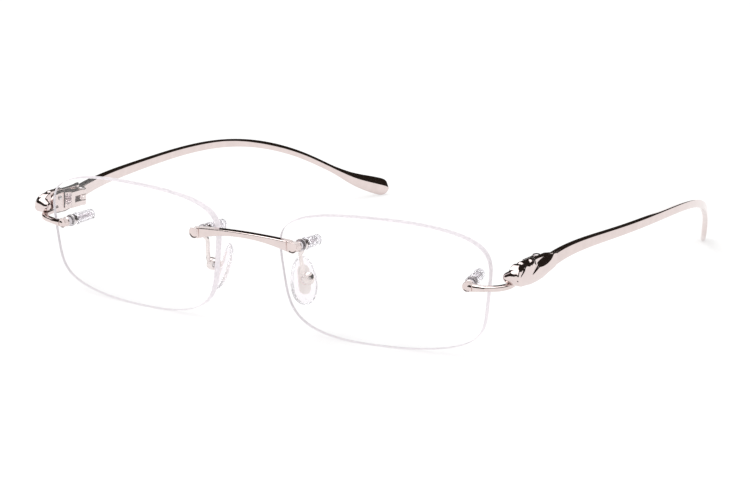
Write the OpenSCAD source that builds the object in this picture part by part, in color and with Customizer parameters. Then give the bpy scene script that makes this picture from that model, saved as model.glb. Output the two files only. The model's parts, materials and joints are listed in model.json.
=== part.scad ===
// Rimless eyeglasses: two drilled lenses on screwed posts, a bridge, two end pieces with cast
// ornaments, rocking nose pads and folding temples. Millimetres, +Z up, temples towards +Y.
// The wearer's left side is at +X. The origin is on the ground, under the middle of the outline.

/* [Lenses] */
// Half width of a lens at half its height
lens_half_w = 26.8; // [26.4:0.1:27.4]
// Half height of a lens
lens_half_h = 16; // [15.5:0.1:17]
// How much wider the top of a lens is than its middle, as a share
lens_taper = 0.075; // [0:0.005:0.08]
// Thickness of a lens
lens_t = 2; // [1.8:0.1:2.2]
// Radius of the lens surface
lens_radius = 233; // [180:1:400]
// Distance of a lens's centre from the middle
lens_cx = 36.45; // [36:0.05:37]
// Angle that the outer edge of a lens is turned back
wrap = 6.4; // [4:0.1:8]
// Angle that the front leans, with its lower edge back
tilt = 5.7; // [5:0.1:6.5]

/* [Lens fixings] */
// Nasal hole: distance from the lens centre towards the nose
nasal_u = 22.3; // [22:0.1:22.6]
// Nasal hole: height above the lens centre
nasal_v = 6.95; // [6:0.05:7.5]
// Outer hole: distance from the lens centre towards the temple
outer_u = 22.2; // [22:0.1:22.5]
// Outer hole: height above the lens centre
outer_v = 2.1; // [1.8:0.1:2.4]
// Angle by which the nasal posts point lower than the lens's own direction
nasal_dip = 5; // [0:0.5:6]
// Diameter of a threaded post
stud_d = 1.2; // [1:0.1:1.4]
// Diameter of a clear cap
cap_d = 2.8; // [2.6:0.1:3]
// Length of a clear cap
cap_len = 5.8; // [5.5:0.1:6]

/* [Bridge] */
// Height of the bridge's top edge over the lens centres, in the middle
bridge_top = 9.45; // [9.3:0.05:9.6]
// Height of the bridge's lower edge over the lens centres, in the middle
bridge_low = 8.15; // [7.9:0.05:8.3]
// Front to back thickness of the bridge
bridge_t = 1.9; // [1.6:0.1:2]
// How far the bridge's middle stands in front of the lenses' middles
bridge_front = 5.6; // [5.5:0.1:6]
// Diameter of the bridge's end buttons
bridge_button_d = 3; // [2.8:0.1:3.2]

/* [End pieces] */
// Thickness of the bar, seen from above
bar_t = 1.7; // [1.5:0.1:1.8]
// Height of the bar
bar_h = 1.3; // [1.2:0.1:1.5]
// Angle at which the bar rises from its button to the corner
bar_rise = 4.5; // [3:0.5:6]
// Diameter of an end piece's button
end_button_d = 2.5; // [2.4:0.1:2.7]
// Distance of the inner plate's inner face from the middle
plate_x = 67.1; // [67:0.05:67.15]
// Thickness of the inner plate
plate_t = 1; // [0.9:0.05:1]
// Distance of the ornament's outer face from the middle
ornament_x = 70.5; // [70.3:0.1:70.8]

/* [Hinges] */
// Distance of a hinge pin from the middle
hinge_x = 66.8; // [66.7:0.05:66.8]
// Distance of a hinge pin behind the lenses' middles
hinge_y = 20.65; // [20.5:0.05:20.8]
// Height of a hinge's middle above the ground
hinge_z = 20.9; // [20.7:0.1:21.1]
// Height of a hinge
hinge_h = 4.2; // [4:0.1:4.4]
// Diameter of a hinge knuckle
knuckle_d = 2.6; // [2.4:0.1:2.6]
// Diameter of a hinge pin
pin_d = 1.2; // [1:0.1:1.3]
// Direction of the face where a temple meets its end piece, seen from above
butt_angle = 50; // [48:1:54]

/* [Temples] */
// Height of a temple at the hinge
temple_root_h = 3.6; // [3.4:0.1:3.8]
// Height of a temple in its slim stretch
temple_h = 2.2; // [2:0.1:2.4]
// Thickness of a temple at the hinge
temple_root_t = 2.1; // [2:0.05:2.2]
// Thickness of a temple in its slim stretch
temple_t = 1.5; // [1.4:0.1:1.8]
// Height of the paddle at a temple's end
paddle_h = 5.3; // [4.8:0.1:5.6]

/* [Nose pads] */
// Width of a nose pad
pad_w = 7; // [6.6:0.1:7.4]
// Length of a nose pad
pad_len = 12; // [11.5:0.1:12.5]
// Thickness of a nose pad
pad_t = 2.6; // [2.4:0.1:2.8]
// Angle between a nose pad and the vertical, seen from the front
pad_frontal = 20; // [18:1:22]
// Angle between a nose pad's face and the middle plane, seen from above
pad_splay = 30; // [28:1:32]

/* [Hidden] */

// Gap between pieces that touch, and between a turning piece and its pin
gap = 0.02;
running_gap = 0.04;
// Facets of small rounds and of large arcs
small_fn = 48;
large_fn = 360;
hull_fn = 32;
ball_fn = 20;

// Exponents of the lens outline, which is a superellipse with four different quarters: upper
// temple side, upper nose side, lower nose side and lower temple side
lens_p = [2.1, 2.5, 3, 2.1];
lens_q = [4.2, 4.8, 3.9, 5.6];

// Places along a post, counted backwards from the middle of the lens
front_face = -lens_t / 2 - gap;
flange_start = lens_t / 2 + gap;
flange_t = 0.4;
washer_start = flange_start + flange_t + gap;
washer_t = 0.4;
eye_start = washer_start + washer_t + gap;
eye_t = 0.6;
nut_t = 1;
nut_d = 2.7;
cap_gap = 0.15;
stud_end = 8;

// The bridge's button is deeper than an end piece's button
bridge_button_front = -3.5;
end_button_front = -2.7;
stud_front = -2;

// The pads' centre and the pad screw, measured from between the lens centres
pad_centre = [11.5, 4.3, -3.9];
pad_twist = 7;
pad_pivot_back = 2.6;
pad_pivot_up = 0.2;

// Control points of the curve along the middle of the left temple, above the ground
temple_curve = [
    [69, 21, 21.1], [69.5, 49, 27.7], [76.5, 70, 14.2],
    [76, 108, 38.2], [62.5, 128, 9.9], [51.6, 152.3, 0.95]
];
temple_rings = 56;
temple_sides = 16;
section_power = 4.5;

// Height of the lens centres over the ground, and the middle of the outline from front to back
lens_low = lens_half_h * cos(tilt) + lens_t / 2 * sin(tilt);
ground_z = lens_low;
outline_front = -bridge_front * cos(tilt) - bridge_top * sin(tilt);
tip_reach = 0.35;
outline_back = temple_curve[5][1] + tip_reach;
origin_y = -(outline_front + outline_back) / 2;

// Shared functions and placements

function signed_pow(c, e) = sign(c) * pow(abs(c), e);

// Bezier curve of any number of control points
function bezier(p, t) = len(p) == 1
    ? p[0]
    : bezier([for (i = [0 : len(p) - 2]) p[i] * (1 - t) + p[i + 1] * t], t);

function unit(v) = v / norm(v);

// Quarter turn of a 2D vector to the left
function turned(v) = [-v[1], v[0]];

// Outline of a bar of width w along the 2D points p
function direction(p, i) = unit(p[min(i + 1, len(p) - 1)] - p[max(i - 1, 0)]);
function bar_outline(p, w) = concat(
    [for (i = [0 : len(p) - 1]) p[i] + turned(direction(p, i)) * w / 2],
    [for (i = [len(p) - 1 : -1 : 0]) p[i] - turned(direction(p, i)) * w / 2]
);

// Points of an arc about c
function arc(c, r, a0, a1, n) = [for (i = [0 : n]) let (a = a0 + (a1 - a0) * i / n) c + r * [cos(a), sin(a)]];

module right_side() {
    mirror([1, 0, 0]) children();
}

module both_sides() {
    children();
    right_side() children();
}

// Row frame with y = 0 at the lenses' middles
module from_lenses() {
    translate([0, origin_y, 0]) children();
}

// Frame of the leaning front, with its origin between the lens centres
module front() {
    from_lenses() translate([0, 0, ground_z]) rotate([tilt, 0, 0]) children();
}

// Frame of the left lens, with +Y behind it
module lens_frame() {
    front() translate([lens_cx, 0, 0]) rotate([0, 0, wrap]) children();
}

// Frame of a hole at (u, v) on the left lens: +Z runs straight back from the middle of the lens
module on_lens(u, v) {
    pitch = -asin(v / lens_radius);
    yaw = asin(u / (lens_radius * cos(pitch)));
    lens_frame() translate([0, lens_radius, 0]) rotate([0, 0, yaw]) rotate([pitch, 0, 0])
        translate([0, -lens_radius, 0]) rotate([-90, 0, 0]) children();
}

module at_nasal() {
    on_lens(-nasal_u, nasal_v) rotate([-nasal_dip, 0, 0]) children();
}

// The nasal pieces stand off the lens by this much, because they tip down on its face
nasal_seat = 1.6 * tan(nasal_dip);

module at_outer() {
    on_lens(outer_u, outer_v) children();
}

// The children at all four holes
module at_holes() {
    both_sides() {
        at_nasal() children();
        at_outer() children();
    }
}

// The children at all four holes, as far behind the lens as their own post needs
module behind_lenses() {
    both_sides() {
        at_nasal() translate([0, 0, nasal_seat]) children();
        at_outer() children();
    }
}

module tube(r_out, r_in, z0, z1) {
    translate([0, 0, z0]) difference() {
        cylinder(h = z1 - z0, r = r_out, $fn = small_fn);
        translate([0, 0, -1]) cylinder(h = z1 - z0 + 2, r = r_in, $fn = small_fn);
    }
}

// Frame of the left hinge: the pin is on +Z, and +X runs outwards along the butt face
module hinge_frame() {
    from_lenses() translate([hinge_x, hinge_y, hinge_z]) rotate([0, 0, butt_angle]) children();
}

// Everything on the other side of the butt face: what a temple, or with front_side false an
// ornament, has cut away
butt_offset = 0.4;
butt_gap = 0.06;
module butt_side(front_side) {
    big = 60;
    far_edge = butt_offset - (front_side ? butt_gap : 0);
    hinge_frame() translate([-big / 2, front_side ? -big - far_edge : -far_edge, -big / 2])
        cube([big, big, big]);
}

// Lenses

// Share of a quarter turn at step f of 0 to 1: small steps at both ends, where the curve is stretched
function quarter_share(f) = f < 0.5 ? 4 * pow(f, 3) : 1 - 4 * pow(1 - f, 3);

module lens_outline() {
    n = 28;
    polygon([
        for (k = [0 : 3], i = [0 : n - 1])
            let (t = 90 * (k + quarter_share(i / n)), s = signed_pow(sin(t), 2 / lens_q[k]))
                [lens_half_w * signed_pow(cos(t), 2 / lens_p[k]) * (1 + lens_taper * s), lens_half_h * s]
    ]);
}

module left_lens() {
    depth = 16;
    hole_r = stud_d / 2 + 0.4;
    color("azure", 0.4) difference() {
        lens_frame() difference() {
            intersection() {
                translate([0, depth / 2, 0]) rotate([90, 0, 0]) linear_extrude(depth) lens_outline();
                translate([0, lens_radius, 0]) sphere(lens_radius + lens_t / 2, $fn = large_fn);
            }
            translate([0, lens_radius, 0]) sphere(lens_radius - lens_t / 2, $fn = large_fn);
        }
        at_nasal() cylinder(h = 4 * lens_t, r = hole_r, center = true, $fn = small_fn);
        at_outer() cylinder(h = 4 * lens_t, r = hole_r, center = true, $fn = small_fn);
    }
}

module right_lens() {
    right_side() left_lens();
}

// Posts and what is on them

module post_bore(z0) {
    translate([0, 0, z0]) cylinder(h = -z0 + 1, r = stud_d / 2 + gap, $fn = small_fn);
}

module lens_studs() {
    color("gainsboro") at_holes()
        translate([0, 0, stud_front + gap])
            cylinder(h = stud_end - stud_front, r = stud_d / 2, $fn = small_fn);
}

module lens_bushings() {
    bore = stud_d / 2 + gap;
    color("whitesmoke", 0.7) behind_lenses() {
        tube(bore + 0.36, bore, front_face + gap, flange_start);
        tube(1.5, bore, flange_start, flange_start + flange_t);
    }
}

module lens_washers() {
    color("silver") behind_lenses() tube(1.5, stud_d / 2 + gap, washer_start, washer_start + washer_t);
}

module nut() {
    difference() {
        cylinder(h = nut_t, d = nut_d, $fn = 6);
        translate([0, 0, -1]) cylinder(h = nut_t + 2, r = stud_d / 2 + gap, $fn = small_fn);
    }
}

nasal_eye = eye_start + nasal_seat;
nasal_nut = nasal_eye + eye_t + gap;
outer_nut = eye_start;
module lens_nuts() {
    color("silver") both_sides() {
        at_nasal() translate([0, 0, nasal_nut]) nut();
        at_outer() translate([0, 0, outer_nut]) nut();
    }
}

// A clear sleeve with a collar at its open end and a domed closed end
module stud_cap(bore_depth) {
    dome = 0.5;
    r = cap_d / 2;
    difference() {
        rotate_extrude($fn = small_fn) polygon(concat(
            [[0, 0], [r + 0.15, 0], [r + 0.15, 0.45], [r, 0.6]],
            arc([r - dome, cap_len - dome], dome, 0, 90, 8),
            [[0, cap_len]]
        ));
        translate([0, 0, -1]) cylinder(h = bore_depth + 1, r = stud_d / 2 + gap, $fn = small_fn);
    }
}

module stud_caps() {
    nasal_cap = nasal_nut + nut_t + cap_gap;
    outer_cap = outer_nut + nut_t + cap_gap;
    bore_spare = 0.1;
    color("white", 0.5) both_sides() {
        at_nasal() translate([0, 0, nasal_cap]) stud_cap(stud_end - nasal_cap + bore_spare);
        at_outer() translate([0, 0, outer_cap]) stud_cap(stud_end - outer_cap + bore_spare);
    }
}

// Bridge

bridge_half = 13.6;
module bridge_bar() {
    top_r = 116;
    low_r = 40;
    plan_r = 111;
    big = 40;
    intersection() {
        difference() {
            translate([0, big / 2, bridge_top - top_r]) rotate([90, 0, 0])
                cylinder(h = big, r = top_r, $fn = large_fn);
            translate([0, big / 2, bridge_low - low_r]) rotate([90, 0, 0])
                cylinder(h = big, r = low_r, $fn = large_fn);
        }
        difference() {
            translate([0, plan_r - bridge_front, 0]) cylinder(h = big, r = plan_r, $fn = large_fn);
            translate([0, plan_r - bridge_front + bridge_t, 0]) cylinder(h = big, r = plan_r, $fn = large_fn);
        }
        translate([-bridge_half, -bridge_front - 1, 0]) cube([2 * bridge_half, big / 2, big / 2]);
    }
}

// A round button with a flat top
module bridge_button() {
    depth = front_face - nasal_seat - bridge_button_front;
    flat = 1.15;
    translate([0, 0, bridge_button_front]) intersection() {
        cylinder(h = depth, d = bridge_button_d, $fn = small_fn);
        translate([-bridge_button_d, -flat, 0]) cube([2 * bridge_button_d, 2 * bridge_button_d, depth]);
    }
}

module bridge() {
    groove = 0.2;
    groove_x = 1.4;
    color("silver") difference() {
        union() {
            front() bridge_bar();
            both_sides() at_nasal() bridge_button();
        }
        both_sides() at_nasal() {
            post_bore(stud_front);
            translate([-groove_x - groove, -2, bridge_button_front - 1]) cube([groove, 4, 1 + groove]);
        }
    }
}

// End pieces

// Line along the bar from above: along the lens, round the corner and straight back
bar_turn_r = 3.7;
bar_heading = 12;
bar_start = [58.9, 1.7];
bar_corner = [64.7, 2.9];
bar_back_y = 12;
function bar_line() = let (c = bar_corner + bar_turn_r * [-sin(bar_heading), cos(bar_heading)]) concat(
    [bar_start],
    arc(c, bar_turn_r, bar_heading - 90, 0, 12),
    [[c[0] + bar_turn_r, bar_back_y]]
);
bar_z = 1.5;

// The bar, grown by a margin
module bar(grow) {
    translate([bar_start[0], 0, bar_z]) rotate([0, -bar_rise, 0])
        translate([-bar_start[0], 0, -bar_h / 2 - grow])
        linear_extrude(bar_h + 2 * grow) polygon(bar_outline(bar_line(), bar_t + 2 * grow));
}

// Height of the bar's middle at the corner
bar_corner_z = bar_z + (plate_x - bar_start[0]) * tan(bar_rise);

// Outline of the inner plate from the side: [distance behind the lenses, height]
plate_outline = [
    [8.4, 0.9], [9.5, 0.5], [11.5, 0.2], [14.5, 0.1], [16.9, 0.7], [19.2, 1.2],
    [19.2, 5.4], [16.5, 5.8], [11, 6], [9.5, 5.7], [8.4, 4.8]
];

// A 2D outline in the side view, made into a plate between two distances from the middle
module side_plate(x0, x1) {
    translate([x0, 0, 0]) rotate([90, 0, 90]) linear_extrude(x1 - x0) children();
}

rivet_place = [12.8, 4.6];
rivet_d = 1;
module rivet_bore(grow) {
    translate([plate_x - 1, rivet_place[0], rivet_place[1]]) rotate([0, 90, 0])
        cylinder(h = plate_t + 2, d = rivet_d + 2 * grow, $fn = small_fn);
}

module left_end_piece() {
    groove = 0.2;
    groove_x = 1.15;
    color("silver") difference() {
        union() {
            front() {
                bar(0);
                side_plate(plate_x, plate_x + plate_t) polygon(plate_outline);
            }
            at_outer() translate([0, 0, end_button_front])
                cylinder(h = front_face - end_button_front, d = end_button_d, $fn = small_fn);
        }
        front() rivet_bore(gap);
        at_outer() {
            post_bore(stud_front);
            translate([groove_x, -2, end_button_front - 1]) cube([groove, 4, 1 + groove]);
        }
    }
}

module right_end_piece() {
    right_side() left_end_piece();
}

// Ornaments: a crowned tapered body with slanted, overlapping scales like roof shingles

// Outline of the ornament from the side: [distance behind the lenses, height]
ornament_outline = [
    [5.4, 2.6], [6.7, 2], [9.4, 1.5], [12.2, 0.9], [15.3, 0.6], [18.3, 0.6], [21.3, 1.2], [25.5, 1.8],
    [25.5, 5.2], [20, 5.8], [13.2, 6.4], [9, 6.9], [7.3, 7], [6, 6.4], [5, 5], [4.8, 3.6]
];

module ornament_body() {
    crown_r = 8;
    crown_z = 3.8;
    intersection() {
        side_plate(plate_x + plate_t - 0.5, ornament_x + 1) polygon(ornament_outline);
        translate([ornament_x - crown_r, 0, crown_z]) rotate([-90, 0, 0])
            cylinder(h = 40, r = crown_r, $fn = large_fn);
    }
}

module ornament_ball(p, r, x) {
    translate([x, p[0], p[1]]) sphere(r, $fn = ball_fn);
}

// The body's front turns in, round the front of the plate
module ornament_nose() {
    translate([plate_x, 6, 4.8]) hull() {
        ornament_ball([0, -0.3], 1.3, 0.4);
        ornament_ball([0.6, 0], 1.7, 1.7);
    }
}

module ornament_scale(y, z, length, r) {
    slant = 38;
    translate([ornament_x, y, z]) hull() {
        ornament_ball([0, 0], r, -r);
        ornament_ball([length * cos(slant), -length * sin(slant)], r * 0.5, -r * 1.2);
    }
}

module left_ornament() {
    behind = 20;
    color("silver") difference() {
        front() union() {
            ornament_body();
            ornament_nose();
            ornament_scale(8, 5.6, 4.6, 1.3);
            ornament_scale(12.2, 5.4, 5.6, 1.4);
        }
        front() {
            translate([plate_x - behind + plate_t + gap, plate_outline[0][0] - gap, -10])
                cube([behind, 40, 30]);
            translate([plate_x - behind - 0.9, 0, -10]) cube([behind, 40, 30]);
            bar(gap);
            translate([plate_x - 3, 0, bar_corner_z - 10]) cube([6, 7.5, 10]);
            rivet_bore(gap);
        }
        butt_side(false);
    }
}

module right_ornament() {
    right_side() left_ornament();
}

module ornament_rivets() {
    head_t = 0.25;
    color("darkgray") both_sides() front() {
        intersection() {
            rivet_bore(0);
            translate([plate_x, 0, -10]) cube([plate_t + 0.9, 40, 30]);
        }
        translate([plate_x - head_t - gap, rivet_place[0], rivet_place[1]]) rotate([0, 90, 0])
            cylinder(h = head_t + 2 * gap, d = rivet_d * 1.1, $fn = small_fn);
    }
}

// Nose pads

// Frame of the left pad: +X points to the nose, +Z up along the pad
module pad_frame() {
    front() translate(pad_centre) rotate([pad_twist, pad_frontal, 180 - pad_splay]) children();
}

// Frame of the pad screw: +Z along the screw
module pad_pivot() {
    pad_frame() translate([-pad_pivot_back, 0, pad_pivot_up]) rotate([90, 0, 0]) children();
}

lug_t = 1;
lug_r = 0.8;
insert_t = 0.5;
insert_w = 3.4;
insert_len = 7;
insert_x = -0.95;
pad_screw_d = 0.8;
box_wall = 0.5;
box_w = lug_t + 2 * (box_wall + running_gap);
box_h = 2.4;
box_back = 1.6;

module pad_insert_shape(grow) {
    translate([insert_x - grow, 0, pad_pivot_up]) rotate([0, 90, 0])
        linear_extrude(insert_t + 2 * grow) union() {
            square([insert_len - insert_w + 2 * grow, insert_w + 2 * grow], center = true);
            for (side = [-1, 1])
                translate([side * (insert_len - insert_w) / 2, 0])
                    circle(d = insert_w + 2 * grow, $fn = small_fn);
        }
    translate([-pad_pivot_back, -lug_t / 2 - grow, pad_pivot_up - lug_r - grow])
        cube([pad_pivot_back + insert_x + insert_t / 2, lug_t + 2 * grow, 2 * (lug_r + grow)]);
}

module left_nose_pad() {
    rim = 0.8;
    belly = pad_t / 2;
    low_r = pad_w / 2;
    high_r = pad_w / 2 - 0.6;
    color("white", 0.5) pad_frame() difference() {
        hull() {
            translate([-pad_t / 2 + rim, 0, -pad_len / 2 + low_r * 1.2])
                scale([rim, low_r, low_r * 1.2]) sphere(1, $fn = hull_fn);
            translate([-pad_t / 2 + rim, 0, pad_len / 2 - high_r * 1.3])
                scale([rim, high_r, high_r * 1.3]) sphere(1, $fn = hull_fn);
            for (z = [-1, 1])
                translate([pad_t / 2 - belly, 0, z * pad_len / 6]) sphere(belly, $fn = ball_fn);
        }
        pad_insert_shape(gap);
    }
}

module right_nose_pad() {
    right_side() left_nose_pad();
}

module left_pad_insert() {
    color("silver") difference() {
        union() {
            pad_frame() pad_insert_shape(0);
            pad_pivot() cylinder(h = lug_t, r = lug_r, center = true, $fn = small_fn);
        }
        pad_pivot() cylinder(h = 3 * lug_t, d = pad_screw_d + 2 * running_gap, center = true, $fn = small_fn);
    }
}

module right_pad_insert() {
    right_side() left_pad_insert();
}

// The box is a channel open towards the nose
module left_pad_box() {
    front_reach = 0.9;
    back_wall = 0.5;
    color("silver") difference() {
        pad_frame() translate([-pad_pivot_back, 0, pad_pivot_up]) difference() {
            translate([-box_back, -box_w / 2, -box_h / 2]) cube([box_back + front_reach, box_w, box_h]);
            translate([-box_back + back_wall, -box_w / 2 + box_wall, -box_h])
                cube([box_back + front_reach, box_w - 2 * box_wall, 2 * box_h]);
        }
        pad_pivot() cylinder(h = 3 * box_w, d = pad_screw_d + 2 * gap, center = true, $fn = small_fn);
    }
}

module right_pad_box() {
    right_side() left_pad_box();
}

module pad_screws() {
    head_t = 0.35;
    head_d = 1.5;
    slot = 0.25;
    color("silver") both_sides() pad_pivot() difference() {
        union() {
            cylinder(h = box_w + 0.2, d = pad_screw_d, center = true, $fn = small_fn);
            translate([0, 0, box_w / 2 + gap]) cylinder(h = head_t, d = head_d, $fn = small_fn);
        }
        translate([-head_d, -slot / 2, box_w / 2 + head_t - 0.15]) cube([2 * head_d, slot, 1]);
    }
}

// The arm: an eye on the nasal post, and a strap down to the pad box
module left_pad_arm() {
    eye_d = 2.8;
    strap_w = 0.9;
    strap_t = 0.6;
    knee = [13.5, 0.75, 4.2];
    end = [13.8, 1.3, -0.9];
    color("silver") difference() {
        union() {
            at_nasal() translate([0, 0, nasal_eye]) cylinder(h = eye_t, d = eye_d, $fn = small_fn);
            hull() {
                at_nasal() translate([-strap_w / 2, 0, nasal_eye]) cube([strap_w, 1.4, eye_t]);
                front() translate(knee) cube([strap_w, strap_t, 0.6], center = true);
            }
            hull() {
                front() translate(knee) cube([strap_w, strap_t, 0.6], center = true);
                front() translate(end) cube([strap_w, strap_t, 0.6], center = true);
            }
            hull() {
                front() translate(end) cube([strap_w, strap_t, 0.6], center = true);
                pad_frame() translate([-pad_pivot_back - box_back, 0, pad_pivot_up + 0.2])
                    cube([0.9, 1.6, 1.6], center = true);
            }
        }
        at_nasal() {
            translate([0, 0, -1]) cylinder(h = 12, r = stud_d / 2 + gap, $fn = small_fn);
            translate([0, 0, nasal_nut - gap]) cylinder(h = nut_t, r = nut_d / 2 + gap, $fn = small_fn);
        }
        pad_frame() translate([-pad_pivot_back - box_back - gap, -2, pad_pivot_up - 2]) cube([4, 4, 4]);
    }
}

module right_pad_arm() {
    right_side() left_pad_arm();
}

// Hinges

arm_t = (hinge_h - 1.5) / 2;
module left_front_hinge() {
    web_y = -5.4;
    web_t = 1.5;
    inner_x = -1.05;
    width = plate_x - gap - hinge_x - inner_x;
    color("silver") from_lenses() translate([hinge_x, hinge_y, hinge_z]) difference() {
        union() {
            for (z = [-hinge_h / 2, hinge_h / 2 - arm_t]) translate([0, 0, z]) {
                cylinder(h = arm_t, d = knuckle_d, $fn = small_fn);
                translate([inner_x, web_y, 0]) cube([width, -web_y, arm_t]);
            }
            translate([inner_x, web_y, -hinge_h / 2]) cube([width, web_t, hinge_h]);
        }
        cylinder(h = 2 * hinge_h, r = pin_d / 2 + gap, center = true, $fn = small_fn);
    }
}

module right_front_hinge() {
    right_side() left_front_hinge();
}

module left_hinge_screw() {
    head_d = 2.1;
    head_t = 0.45;
    slot = 0.35;
    color("gainsboro") from_lenses() translate([hinge_x, hinge_y, hinge_z]) difference() {
        union() {
            translate([0, 0, -hinge_h / 2]) cylinder(h = hinge_h + gap + head_t, d = pin_d, $fn = small_fn);
            translate([0, 0, hinge_h / 2 + gap]) cylinder(h = head_t, d = head_d, $fn = small_fn);
        }
        translate([-head_d, -slot / 2, hinge_h / 2 + head_t - 0.2]) cube([2 * head_d, slot, 1]);
    }
}

module right_hinge_screw() {
    right_side() left_hinge_screw();
}

// Centre knuckle with its tongue, which is brazed into the temple's slot
knuckle_h = 1.4;
tongue_len = 4.4;
tongue_low = -0.3;
tongue_high = 0.8;
module tongue(grow) {
    translate([0, tongue_low - grow, -knuckle_h / 2 - grow])
        cube([tongue_len + grow, tongue_high - tongue_low + 2 * grow, knuckle_h + 2 * grow]);
}

module left_temple_hinge() {
    color("silver") hinge_frame() difference() {
        union() {
            cylinder(h = knuckle_h, d = knuckle_d, center = true, $fn = small_fn);
            tongue(0);
        }
        cylinder(h = 2 * knuckle_h, r = pin_d / 2 + running_gap, center = true, $fn = small_fn);
    }
}

module right_temple_hinge() {
    right_side() left_temple_hinge();
}

// Temples

// Share of the way from 0 to 1 between two places, eased at both ends
function eased(t, t0, t1) = let (s = min(1, max(0, (t - t0) / (t1 - t0)))) s * s * (3 - 2 * s);

// Height and thickness of the temple at t, from 0 at the hinge to 1 at the tip
tip_round = 0.024;
function tip_share(t) = t < 1 - tip_round ? 1
    : pow(max(0.03, 1 - pow((t - 1 + tip_round) / tip_round, 2.5)), 0.4);
function temple_height(t) = (temple_h + (temple_root_h - temple_h) * exp(-t / 0.2)
    + (paddle_h - temple_h) * eased(t, 0.84, 0.975)) * tip_share(t);
function temple_thickness(t) = (temple_t + (temple_root_t - temple_t) * exp(-t / 0.25)
    + 0.2 * eased(t, 0.8, 0.95)) * (0.4 + 0.6 * tip_share(t));

// How far the temple runs below its curve at the neck and above it at the paddle
function temple_lift(t) = 1.2 * eased(t, 0.89, 1) - 0.3 * eased(t, 0.74, 0.88);

// The top slopes down towards the head: drop at mid thickness, as a share of half the height
function temple_slope(t) =
    0.1 - 0.025 * eased(t, 0.06, 0.16) + 0.07 * eased(t, 0.33, 0.45) + 0.27 * eased(t, 0.5, 0.7);

// A ring of points across the curve: rounded box section with the sloping top
function ring(t) = let (
    along = unit(bezier(temple_curve, t + 0.001) - bezier(temple_curve, t - 0.001)),
    out = unit(cross(along, [0, 0, 1])),
    up = cross(out, along),
    p = bezier(temple_curve, t) + up * temple_lift(t),
    half_t = temple_thickness(t) / 2,
    half_h = temple_height(t) / 2
) [
    for (i = [0 : temple_sides - 1]) let (
        a = 360 * (i + 0.5) / temple_sides,
        u = half_t * signed_pow(cos(a), 2 / section_power),
        w = half_h * signed_pow(sin(a), 2 / section_power)
    ) p + out * u + up * min(w, half_h * (1 - temple_slope(t) * (1 - u / half_t)))
];

// Rings lie closer together near the tip, whose round end needs them
function ring_place(k) = 1 - pow(1 - k / temple_rings, 1.5);

module temple_sweep() {
    m = temple_sides;
    points = [for (k = [0 : temple_rings]) each ring(ring_place(k))];
    faces = concat(
        [[for (i = [m - 1 : -1 : 0]) i]],
        [for (k = [0 : temple_rings - 1]) for (i = [0 : m - 1]) let (j = (i + 1) % m)
            each [[k * m + i, k * m + j, (k + 1) * m + i], [k * m + j, (k + 1) * m + j, (k + 1) * m + i]]],
        [[for (i = [0 : m - 1]) temple_rings * m + i]]
    );
    polyhedron(points, faces, convexity = 6);
}

module left_temple() {
    knuckle_room = 0.2;
    color("silver") difference() {
        from_lenses() temple_sweep();
        butt_side(true);
        hinge_frame() {
            cylinder(h = 3 * hinge_h, r = knuckle_d / 2 + knuckle_room, center = true, $fn = small_fn);
            tongue(gap);
        }
    }
}

module right_temple() {
    right_side() left_temple();
}

left_lens();
right_lens();
bridge();
left_end_piece();
right_end_piece();
left_ornament();
right_ornament();
ornament_rivets();
lens_studs();
lens_bushings();
lens_washers();
lens_nuts();
stud_caps();
left_pad_arm();
right_pad_arm();
left_pad_box();
right_pad_box();
pad_screws();
left_pad_insert();
right_pad_insert();
left_nose_pad();
right_nose_pad();
left_front_hinge();
right_front_hinge();
left_hinge_screw();
right_hinge_screw();
left_temple();
right_temple();
left_temple_hinge();
right_temple_hinge();
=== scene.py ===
import json
import math

import bmesh
import bpy
from mathutils import Matrix, Vector
from mathutils.geometry import delaunay_2d_cdt


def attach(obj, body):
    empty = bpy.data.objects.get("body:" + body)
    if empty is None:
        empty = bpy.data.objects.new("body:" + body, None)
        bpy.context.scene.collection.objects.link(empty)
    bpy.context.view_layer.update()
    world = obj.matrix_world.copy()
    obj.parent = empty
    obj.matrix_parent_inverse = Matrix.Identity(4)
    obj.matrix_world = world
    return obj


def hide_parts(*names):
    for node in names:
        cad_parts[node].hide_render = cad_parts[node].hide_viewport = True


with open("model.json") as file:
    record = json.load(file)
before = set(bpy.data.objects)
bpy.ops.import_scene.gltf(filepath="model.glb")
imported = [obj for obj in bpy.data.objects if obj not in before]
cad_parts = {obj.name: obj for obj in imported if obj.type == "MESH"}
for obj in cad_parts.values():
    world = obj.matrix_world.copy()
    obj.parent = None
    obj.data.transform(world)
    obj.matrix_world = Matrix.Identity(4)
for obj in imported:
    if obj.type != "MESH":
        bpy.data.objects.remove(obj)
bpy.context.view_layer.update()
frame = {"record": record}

# Everything is built in millimetres and scaled when its object is made.
METRE = 0.001

# ---------------------------------------------------------------- sizes, as in part.scad
# Lenses. The exponents of the outline are for its quarters: upper temple side, upper nose side,
# lower nose side, lower temple side.
LENS_HALF_W, LENS_HALF_H, LENS_TAPER = 26.8, 16, 0.075
LENS_P, LENS_Q = (2.1, 2.5, 3, 2.1), (4.2, 4.8, 3.9, 5.6)
LENS_T, LENS_R, LENS_CX = 2, 233, 36.45
WRAP, TILT = 6.4, 5.7
HOLE_R = 1.0
NASAL_U, NASAL_V, NASAL_DIP = -22.3, 6.95, 5
OUTER_U, OUTER_V = 22.2, 2.1

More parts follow.
